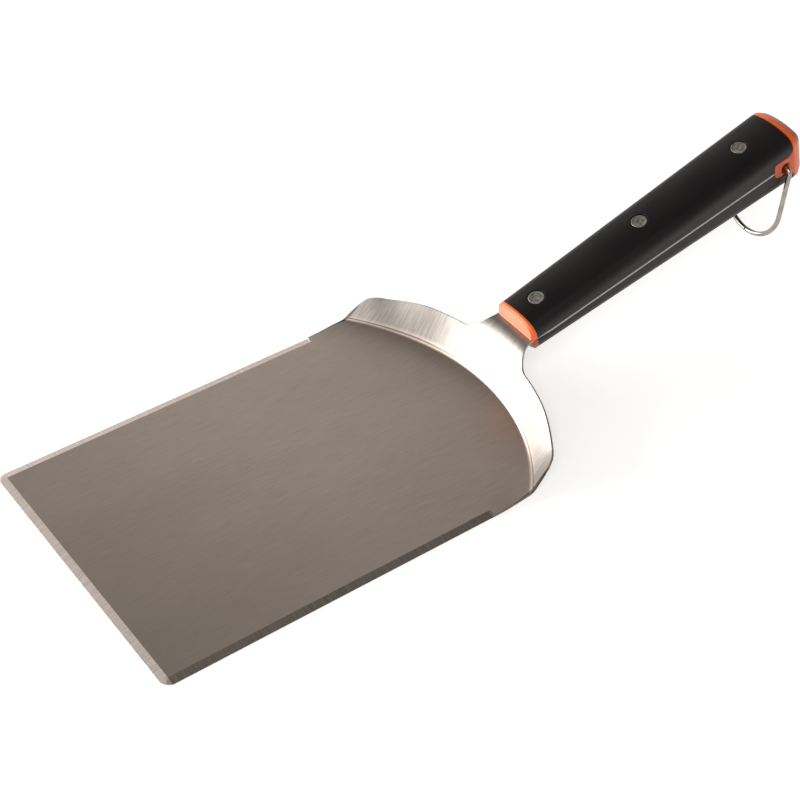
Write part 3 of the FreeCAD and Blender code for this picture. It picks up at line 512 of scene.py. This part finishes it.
def grip_scale(name, top):
    """One scale: skin over the crown and sides, flat inner face, counterbores, and two end faces."""
    tip_s, tip_h = tongue_lines(top)
    spans = [RING_END] + [v for s in RIVET_SPOTS for v in (s - WINDOW, s + WINDOW)]
    rows, cells = [np.array([RING_END])], (6, 16, 24, 16, 24, 16)
    for k, cell in enumerate(cells):
        rows.append(np.linspace(spans[k], spans[k + 1], cell + 1)[1:])
    rows.append(np.linspace(spans[-1], TONGUE_FRONT, 5)[1:-1])
    rows = np.concatenate([*rows, tip_s])
    foot = np.concatenate([np.full(len(rows) - len(tip_s), GAUGE / 2), tip_h])
    width, back = grip_size(rows)
    x, h = grip_side(width, back, foot + 0.25)
    x, h = np.vstack([x, x[-1] - 0.07, x[-1] - 0.25]), np.vstack([h, foot + 0.07, foot])
    band = np.linspace(-WINDOW, WINDOW, 17)[:, None] + 0 * rows
    x = np.vstack([-x[:0:-1], band, x[1:]])
    h = np.vstack([h[:0:-1], crown_height(band, rows), h[1:]])
    skin = np.stack([x, np.broadcast_to(rows, x.shape), h], -1).transpose(1, 0, 2)

    inner_half = x[-1]
    share = np.linspace(0, 1, 9)[1:, None]
    outer = WINDOW + (inner_half - WINDOW) * share
    inner_x = np.vstack([-outer[::-1], band, outer])
    inner = np.stack([inner_x, np.broadcast_to(rows, inner_x.shape),
                      np.broadcast_to(foot, inner_x.shape)], -1).transpose(1, 0, 2)

    middle = (rows[:-1] + rows[1:]) / 2
    in_window = np.any([np.abs(middle - s) < WINDOW for s in RIVET_SPOTS], 0)
    keep = {}
    for k, grid in enumerate((skin, inner)):
        centre = (grid[0, :-1, 0] + grid[0, 1:, 0]) / 2
        under_back = (grid[0, :-1, 2] + grid[0, 1:, 2]) / 2 > GAUGE if k == 0 else True
        keep[k] = ~(in_window[:, None] & ((np.abs(centre) < WINDOW) & under_back)[None, :])
    grids = [skin, inner]
    for spot in RIVET_SPOTS:
        floor = crown_height(0.0, spot) - RIVET_RECESS - HEAD_THICKNESS
        grids.append(around(polar_patch(spot, SINK_RADIUS + SINK_LIP, crown_height, 6)))
        rim = grids[-1][-1]
        turn = (rim[:, :2] - (0, spot)) / (SINK_RADIUS + SINK_LIP)
        lip = [rim] + [np.column_stack([turn * (SINK_RADIUS + SINK_LIP * (1 - np.sin(a))) + (0, spot),
                                        rim[:, 2] - SINK_LIP * (1 - np.cos(a))])
                       for a in np.radians((35, 65, 90))]
        down = [np.column_stack([turn * r + (0, spot), np.full(len(turn), v)])
                for r, v in ((SINK_RADIUS, floor), (BORE_RADIUS, floor), (BORE_RADIUS, GAUGE / 2))]
        grids.append(np.stack(lip + down))
        grids.append(around(polar_patch(spot, BORE_RADIUS, lambda x, y: 0 * x + GAUGE / 2, 4)))
    points, faces = patches(grids, keep)
    across, inside = skin.shape[1], inner.shape[1]
    for row in (0, len(rows) - 1):
        faces.append(list(range(row * across, (row + 1) * across))
                     + list(range(skin.shape[0] * across + row * inside,
                                  skin.shape[0] * across + (row + 1) * inside))[-2:0:-1])
    points = points * ((1, 1, 1) if top else (1, 1, -1))
    return make_piece(name, on_handle(points), faces, crease=28)


def paint_black_plastic(shade):
    grain = shade.noise((2600, 2600, 2600), 2, 0.6)
    patch = shade.noise((60, 25, 60), 3, 0.55)
    scuff = shade.noise((300, 90, 300), 4, 0.65).above(0.62, 0.78)
    dust = shade.noise((1400, 1400, 1400), 1, 0.5).above(0.77, 0.80)
    colour = shade.mix(patch.above(0.3, 0.7), rgb(0.0040, 0.0033, 0.0035), rgb(0.0072, 0.0060, 0.0059))
    colour = shade.mix(dust * 0.3, colour, rgb(0.06, 0.052, 0.047))
    rough = 0.36 + grain * 0.10 + patch * 0.06 + scuff * 0.05
    return {"Base_Color": colour, "Roughness": rough, "Normal": shade.bump(grain, 0.25, 0.00003)}


black_plastic = make_material("satin_black_plastic", paint_black_plastic, Metallic=0.0,
                              Specular_IOR_Level=0.30)
for name, top in (("upper_scale", True), ("lower_scale", False)):
    scale = grip_scale(f"{name}_grip", top)
    scale.data.materials.append(black_plastic)
    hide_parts(name)
    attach(scale, "spatula")

# ---------------------------------------------------------------- coloured front pieces
# One moulded orange piece above the tang and one below close the handle's front.  Each is flush with
# its scale, its front rim is chamfered all round the handle's back and sides, and its front face
# leans back with its distance from the tang.
RIM_CHAMFER = 1.4
RIM_LEAN = 1.2
CAP_RING = 2.5


def half_section(width, back, foot, inset):
    """Closed half section from its right foot over the crown to its left foot; (x, height)."""
    x, h = (v[:, 0] for v in grip_side(np.array([width]), np.array([back]), np.array([foot]), inset))
    middle = np.linspace(WINDOW, -WINDOW, 9)[1:-1]
    crown = GRIP_CROWN - inset
    top = back - inset - crown + np.sqrt(crown ** 2 - middle ** 2)
    return np.concatenate([x[::-1], middle, -x]), np.concatenate([h[::-1], top, h])


def front_piece(name, side):
    """Rings from the scale forwards: a flush ring, a chamfer with two softened edges, a front face
    that leans back with its height above the tang."""
    rings = []
    steps = ((RING_END, 0.0), (RIM_CHAMFER + 0.25, 0.0), (RIM_CHAMFER, 0.05), (RIM_CHAMFER - 0.2, 0.2),
             (0.2, RIM_CHAMFER - 0.2), (0.05, RIM_CHAMFER), (0.0, RIM_CHAMFER + 0.25))
    for along, inset in steps:
        x, h = half_section(WIDTH_FRONT, BACK_FRONT, GAUGE / 2, inset)
        back = (h - GAUGE / 2) / (BACK_FRONT - GAUGE / 2)
        leaning = along + RIM_LEAN * back * (1 - along / RING_END)
        rings.append(np.stack([x, leaning, h * side], 1))
    rings = np.stack(rings)
    points, faces = patches([around(rings)])
    count = rings.shape[1] + 1
    faces += [list(range(count - 1)), list(range(count * len(rings) - 2, count * (len(rings) - 1) - 1, -1))]
    return make_piece(name, on_handle(points), faces, crease=24)


def paint_orange_plastic(shade):
    """Clouded orange with rubbed spots.  Painted light: the front pieces' front face is paler, a painted
    reflection; the piece below the tang, the cap's chamfer and its tongues are darker, painted shade."""
    grain = shade.noise((2200, 2200, 2200), 2, 0.6)
    cloud = shade.noise((140, 140, 140), 3, 0.6)
    rub = shade.noise((500, 500, 120), 3, 0.6).above(0.58, 0.75)
    colour = shade.mix(cloud.above(0.3, 0.7), rgb(0.72, 0.105, 0.012), rgb(0.84, 0.145, 0.019))
    _, y, z = place_mm(shade)
    y, z = y - (FRONT + HANDLE_Y), z - HANDLE_Z
    along = y * float(np.cos(TILT)) + z * float(np.sin(TILT))
    away = z * float(np.cos(TILT)) - y * float(np.sin(TILT))
    leaning = (abs(away) - GAUGE / 2) * (RIM_LEAN / (BACK_FRONT - GAUGE / 2))
    front_face_reflection = 1 - (along - leaning).above(0.12, 0.28)
    below = 1 - away.above(-1.2, -0.6)
    front_end = 1 - along.above(20, 30)
    chamfer = along.above(SCALE_END + CAP_RING - 0.1, SCALE_END + CAP_RING + 0.1)
    tongue = (1 - along.above(SCALE_END - 0.6, SCALE_END + 1.5)) * (1 - front_end)
    # Painted reflection: the front pieces' front face is paler.
    colour = shade.mix(front_face_reflection * 0.85, colour, rgb(0.86, 0.33, 0.21))
    # Painted shade: the piece below the tang, the cap's chamfer and its tongues are darker.
    colour = shade.mix(below * front_end * 0.7, colour, rgb(0.20, 0.028, 0.008))
    colour = shade.mix(chamfer * 0.75, colour, rgb(0.36, 0.055, 0.022))
    colour = shade.mix(tongue * 0.7, colour, rgb(0.40, 0.050, 0.012))
    rough = 0.30 + cloud * 0.10 + rub * 0.12
    return {"Base_Color": colour, "Roughness": rough, "Normal": shade.bump(grain, 0.15, 0.00002)}


orange_plastic = make_material("orange_plastic", paint_orange_plastic, Metallic=0.0)
for name, side in (("front_bolster_upper", 1), ("front_bolster_lower", -1)):
    piece = front_piece(f"{name}_moulding", side)
    piece.data.materials.append(orange_plastic)
    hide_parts(name)
    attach(piece, "spatula")

# ---------------------------------------------------------------- end cap
# A single orange moulding: a plate over the scales' rear ends, chamfered behind, and a cross bar in
# front of it whose two ends show as tongues in the handle's sides.  The wire's cross hole runs
# through the bar, and each tongue is dished round the hole's mouth.
CAP_LENGTH, CAP_NARROWING = 6.5, 2.75
HOLE_ALONG, HOLE_AWAY, HOLE_RADIUS = 164.4, -2.2, 3.3
TONGUE_PROUD = 0.1
DISH_DEPTH, DISH_RADIUS = 0.7, 5.2


def cap_plate():
    """Rings of the whole section, front to rear: flush ring, softened edge, chamfer, rear face."""
    rings = []
    steps = ((0.0, 0.0), (CAP_RING - 0.2, 0.0), (CAP_RING, 0.04), (CAP_RING + 0.2, 0.16),
             (CAP_LENGTH - 0.3, CAP_NARROWING - 0.2), (CAP_LENGTH - 0.08, CAP_NARROWING),
             (CAP_LENGTH, CAP_NARROWING + 0.25))
    for along, inset in steps:
        x, h = half_section(WIDTH_REAR, BACK_REAR, 0.0, inset)
        x, h = np.concatenate([x, x[-2:0:-1]]), np.concatenate([h, -h[-2:0:-1]])
        rings.append(np.stack([x, np.full(len(x), SCALE_END + along), h], 1))
    return np.stack(rings)


def tongue_ring():
    """Side outline of the cross bar, once round: tip, upper edge and flare, the joint inside the
    plate, lower flare and edge."""
    upper_s, upper_h = tongue_lines(True)
    lower_s, lower_h = tongue_lines(False)
    joint = SCALE_END + 0.5
    s = np.concatenate([upper_s[1:], [joint, joint], lower_s[:0:-1]])
    h = np.concatenate([upper_h[1:], [upper_h[-1], -lower_h[-1]], -lower_h[:0:-1]])
    return np.stack([s, h], 1)


def cross_bar():
    """Both tongue faces are rings from the outline in to the hole, sunk near the hole by a smooth
    dish; the outline and the hole run straight across between them."""
    outline = tongue_ring()
    centre = np.array([HOLE_ALONG, HOLE_AWAY])
    ray = outline - centre
    far = np.linalg.norm(ray, axis=1, keepdims=True)
    near = centre + ray / far * HOLE_RADIUS
    share = np.concatenate([[0, 0.02, 0.05], np.linspace(0.12, 0.94, 12), [0.98, 1.0]])[:, None, None]
    spots = outline * (1 - share) + near * share
    radius = np.linalg.norm(spots - centre, axis=-1)
    dish = DISH_DEPTH * (1 - smooth_step((radius - HOLE_RADIUS) / (DISH_RADIUS - HOLE_RADIUS)))
    face_x = grip_size(np.minimum(spots[..., 0], SCALE_END))[0] + TONGUE_PROUD - dish
    face_x[0] -= 0.2
    face_x[1] -= 0.05
    face_x[-1] -= 0.25
    right = np.stack([face_x, spots[..., 0], spots[..., 1]], -1)
    left = right * (-1, 1, 1)
    across = np.linspace(1, -1, 9)[:, None, None]
    wall = right[0] * (0, 1, 1) + across * right[0] * (1, 0, 0)
    bore = right[-1] * (0, 1, 1) + across * right[-1] * (1, 0, 0)
    return [around(grid) for grid in (right, left, wall, bore)]


plate = cap_plate()
points, faces = patches([around(plate)] + cross_bar())
count = plate.shape[1] + 1
faces += [list(range(count - 1)), list(range(count * len(plate) - 2, count * (len(plate) - 1) - 1, -1))]
cap = make_piece("end_cap_moulding", on_handle(points), faces, crease=24)
cap.data.materials.append(orange_plastic)
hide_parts("end_cap")
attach(cap, "spatula")

# ---------------------------------------------------------------- rivets
# Cutlery rivets in two steel halves, turned and tumbled: a tube with a head goes in from above and a
# pin with a head is pressed into it from below.  The heads are slightly dished and marked.
HEAD_RADIUS, SHANK_RADIUS, PIN_RADIUS, PIN_BORE = 4.1, 2.5, 1.5, 1.525
HEAD_ROUND, TUBE_FLOOR, TUBE_GAP, PIN_GAP = 0.3, 0.6, 0.2, 1.0
SIDES = 72


def rivet_profile(back, across, tube):
    """Radius and height, from the head's centre outwards and down the shank: a shallow dish with a
    small pit, a raised land, a rounded rim, the head's underside and the tube or pin."""
    top = back - RIVET_RECESS
    seat = top - HEAD_THICKNESS
    dish = np.array([[0, -0.34], [0.35, -0.30], [0.7, -0.20], [1.0, -0.15], [1.8, -0.17], [2.7, -0.17],
                     [3.1, -0.13], [3.3, -0.03], [3.5, 0.0], [3.8, -0.01]])
    rim = [(HEAD_RADIUS - HEAD_ROUND * (1 - np.sin(a)), -0.01 - HEAD_ROUND * (1 - np.cos(a)))
           for a in np.radians((30, 60, 90))]
    head = np.concatenate([dish, rim]) + (0, top)
    shank = SHANK_RADIUS if tube else PIN_RADIUS
    foot = -across + (TUBE_GAP if tube else PIN_GAP)
    body = [(HEAD_RADIUS, seat), (shank, seat), (shank, foot)]
    floor = seat - TUBE_FLOOR
    body += [(PIN_BORE, foot), (PIN_BORE, floor), (0, floor)] if tube else [(0, foot)]
    return np.concatenate([head, body])


def rivet_half(name, along, side):
    """The profile turned once round the rivet's axis; both ends lie on the axis and close there."""
    back = crown_height(0.0, along)
    profile = rivet_profile(back, back - RIVET_RECESS - HEAD_THICKNESS, side > 0)
    angle = np.linspace(0, 2 * np.pi, SIDES + 1)
    grid = np.stack([profile[:, :1] * np.cos(angle), along + profile[:, :1] * np.sin(angle),
                     np.broadcast_to(profile[:, 1:] * side, (len(profile), SIDES + 1))], -1)
    grid[0], grid[-1] = grid[0, 0], grid[-1, 0]
    points, faces = patches([grid])
    return make_piece(name, on_handle(points), faces, crease=35)


def paint_rivet_steel(shade):
    mottle = shade.noise((520, 520, 520), 4, 0.65)
    scratch = shade.noise((2600, 500, 2600), 3, 0.6)
    pits = shade.noise((1900, 1900, 1900), 2, 0.6).above(0.58, 0.74)
    colour = shade.mix(mottle.above(0.36, 0.64), rgb(0.26, 0.238, 0.216), rgb(0.48, 0.44, 0.405))
    colour = shade.mix(pits * 0.4, colour, rgb(0.14, 0.125, 0.115))
    rough = 0.34 + mottle * 0.22
    relief = shade.bump(scratch + mottle, 0.35, 0.00006)
    return {"Base_Color": colour, "Roughness": rough, "Normal": relief}


rivet_steel = make_material("rivet_steel", paint_rivet_steel, Metallic=1.0)
for place, along in zip(("front", "middle", "rear"), RIVET_SPOTS):
    for half, side in (("tube", 1), ("pin", -1)):
        rivet = rivet_half(f"{place}_rivet_{half}_turned", along, side)
        rivet.data.materials.append(rivet_steel)
        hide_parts(f"{place}_rivet_{half}")
        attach(rivet, "spatula")

# ---------------------------------------------------------------- hanging loop
# One length of polished 2.6 mm steel wire bent into a U.  Its two ends turn inwards into the end
# cap's cross hole, where they turn freely; the loop hangs below the handle.
AXIS_ALONG, AXIS_AWAY = 163.6, -0.9
WIRE_RADIUS, LOOP_HALF, LOOP_LEG, LOOP_BEND, LOOP_TAIL = 1.3, 18.6, 27.7, 2.8, 9.0
LOOP_SWING = np.radians(5.0)


def wire_path():
    """Flat path (x, down) of the wire's middle and its direction: tail, quarter turn, leg, half turn,
    leg, quarter turn, tail."""
    shoulder = LOOP_HALF - LOOP_BEND
    bend = np.linspace(0, np.pi / 2, 13)[1:]
    leg = np.linspace(LOOP_BEND, LOOP_LEG, 16)[1:]
    end = np.linspace(0, np.pi / 2, 29)[1:]
    x = np.concatenate([np.linspace(LOOP_TAIL, shoulder, 6), shoulder + LOOP_BEND * np.sin(bend),
                        np.full(len(leg), LOOP_HALF), LOOP_HALF * np.cos(end)])
    down = np.concatenate([np.zeros(6), LOOP_BEND * (1 - np.cos(bend)), leg,
                           LOOP_LEG + LOOP_HALF * np.sin(end)])
    turn = np.concatenate([np.zeros(6), bend, np.full(len(leg), np.pi / 2), np.pi / 2 + end])
    path = np.stack([x, down], 1)
    return np.concatenate([path, path[-2::-1] * (-1, 1)]), np.concatenate([turn, np.pi - turn[-2::-1]])


def wire_loop():
    """A circle carried along the path: its radius lies in the path's plane and across it.  Each end
    is rounded by pairs of (share of the radius, distance from the end)."""
    path, turn = wire_path()
    around_wire = np.linspace(0, 2 * np.pi, 33)
    ends = [(0.0, 0.0), (0.8, 0.0), (0.95, 0.08), (1.0, 0.25)]
    shares = [share for share, _ in ends]
    size = WIRE_RADIUS * np.concatenate([shares, np.ones(len(path) - 2), shares[::-1]])[:, None]
    heading = np.stack([np.cos(turn), np.sin(turn)], 1)
    first = [path[0] + heading[0] * back for _, back in ends]
    last = [path[-1] - heading[-1] * back for _, back in ends[::-1]]
    path = np.concatenate([first, path[1:-1], last])
    heading = np.concatenate([np.repeat(heading[:1], 4, 0), heading[1:-1], np.repeat(heading[-1:], 4, 0)])
    side = np.stack([heading[:, 1], -heading[:, 0]], 1)
    x = path[:, :1] + side[:, :1] * size * np.cos(around_wire)
    down = path[:, 1:] + side[:, 1:] * size * np.cos(around_wire)
    off = size * np.sin(around_wire)
    axis = on_handle(np.array([[0.0, AXIS_ALONG, AXIS_AWAY]]))[0]
    y = axis[1] - down * np.sin(LOOP_SWING) + off * np.cos(LOOP_SWING)
    z = axis[2] - down * np.cos(LOOP_SWING) - off * np.sin(LOOP_SWING)
    grid = np.stack([x, y, z], -1)
    grid[0], grid[-1] = grid[0, 0], grid[-1, 0]
    points, faces = patches([grid])
    return make_piece("wire_loop", points, faces, crease=40)


def paint_wire(shade):
    haze = shade.noise((160, 160, 160), 3, 0.6)
    draw = shade.noise((1500, 1500, 60), 3, 0.6)
    colour = shade.mix(haze.above(0.3, 0.7), rgb(0.27, 0.245, 0.225), rgb(0.40, 0.365, 0.335))
    rough = 0.10 + haze * 0.08 + draw * 0.06
    return {"Base_Color": colour, "Roughness": rough, "Normal": shade.bump(draw, 0.12, 0.00003)}


wire = wire_loop()
wire.data.materials.append(make_material("polished_wire", paint_wire, Metallic=1.0))
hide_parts("hanging_loop")
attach(wire, "loop")

# ---------------------------------------------------------------- floor, light and camera
# The tool lies on a plain pale floor that runs back into a pale sky.  A large soft box stands to the
# left and in front, a weaker one near the camera, and the room's walls are brighter than its ceiling.


def paint_floor(shade):
    cloud = shade.noise((6, 6, 6), 2, 0.5)
    grain = shade.noise((900, 900, 900), 2, 0.6)
    colour = shade.mix(cloud.above(0.3, 0.7), rgb(0.90, 0.895, 0.89), rgb(0.93, 0.925, 0.92))
    return {"Base_Color": colour, "Roughness": 0.75 + grain * 0.1}


FLOOR_GAP = 0.05
side = np.linspace(-6000, 6000, 13)
floor_grid = np.stack([*np.meshgrid(side, side), np.full((13, 13), -FLOOR_GAP)], -1)
floor = make_piece("floor", *patches([floor_grid]), crease=30)
floor.data.materials.append(make_material("pale_floor", paint_floor, Metallic=0.0, Emission_Strength=0.5,
                                          Emission_Color=rgb(1.0, 0.99, 0.98)))


def soft_box(name, place, aim, size, power, colour):
    """A rectangular area light at place that faces aim."""
    light = bpy.data.lights.new(name, "AREA")
    light.shape = "RECTANGLE"
    light.size, light.size_y = size
    light.energy, light.color = power, colour
    lamp = bpy.data.objects.new(name, light)
    away = np.array(place) - np.array(aim)
    away /= np.linalg.norm(away)
    right = np.cross([0, 0, 1.0], away)
    right /= np.linalg.norm(right)
    turn = np.eye(4)
    turn[:3, :3] = np.stack([right, np.cross(away, right), away], 1)
    turn[:3, 3] = place
    lamp.matrix_world = Matrix(turn.tolist())
    bpy.context.scene.collection.objects.link(lamp)


soft_box("left_soft_box", (-1.3, -1.35, 0.35), (0, -0.05, 0.0), (1.7, 0.7), 42, (1.0, 0.985, 0.96))
soft_box("camera_side_soft_box", (1.1, -0.9, 1.5), (0, 0, 0), (1.2, 1.2), 16, (1.0, 0.99, 0.97))

DIM_SIDE, ROOM_STRENGTH = 0.38, 1.35
world = bpy.data.worlds.new("pale_room")
world.use_nodes = True
room = Shade(world.node_tree)
facing = room.node("TexCoord", output="Generated")
x, y, z = (room.node("SeparateXYZ", {}, {0: facing}, output=k) for k in range(3))
low_wall = ((0.0, 1.0), (0.2, 0.88), (0.34, 0.72), (0.5, 0.48), (0.67, 0.31), (0.8, 0.18), (0.9, 0.12),
            (1.0, 0.09))
glow = room.node("ValToRGB", {"stops": low_wall}, {0: z})
toward_left = (x * -0.75 + y * -0.66).above(-0.8, 0.7)
strength = room.node("Math", {"operation": "MULTIPLY"}, {0: glow, 1: toward_left * (1 - DIM_SIDE) + DIM_SIDE})
back = world.node_tree.nodes["Background"]
back.inputs["Color"].default_value = rgb(1.0, 0.975, 0.95)
world.node_tree.links.new((strength * ROOM_STRENGTH).socket, back.inputs["Strength"])
bpy.context.scene.world = world
bpy.context.scene.view_settings.view_transform = "Standard"

AZIMUTH, ELEVATION, ROLL = np.radians((53.7804, 42.0322, -0.7095))
CAMERA_PLACE = 0.5385, -0.4273, 0.6158
LENS_LENGTH, SENSOR_WIDTH = 85.5, 36.0
behind = np.array([np.sin(AZIMUTH) * np.cos(ELEVATION), -np.cos(AZIMUTH) * np.cos(ELEVATION),
                   np.sin(ELEVATION)])
right = np.cross(-behind, [0, 0, 1.0])
right /= np.linalg.norm(right)
up = np.cross(behind, right)
turn = np.eye(4)
turn[:3, :3] = np.stack([np.cos(ROLL) * right - np.sin(ROLL) * up, np.sin(ROLL) * right + np.cos(ROLL) * up,
                         behind], 1)
turn[:3, 3] = CAMERA_PLACE
lens = bpy.data.cameras.new("camera")
lens.lens, lens.sensor_width = LENS_LENGTH, SENSOR_WIDTH
camera = bpy.data.objects.new("camera", lens)
camera.matrix_world = Matrix(turn.tolist())
bpy.context.scene.collection.objects.link(camera)
bpy.context.scene.camera = camera
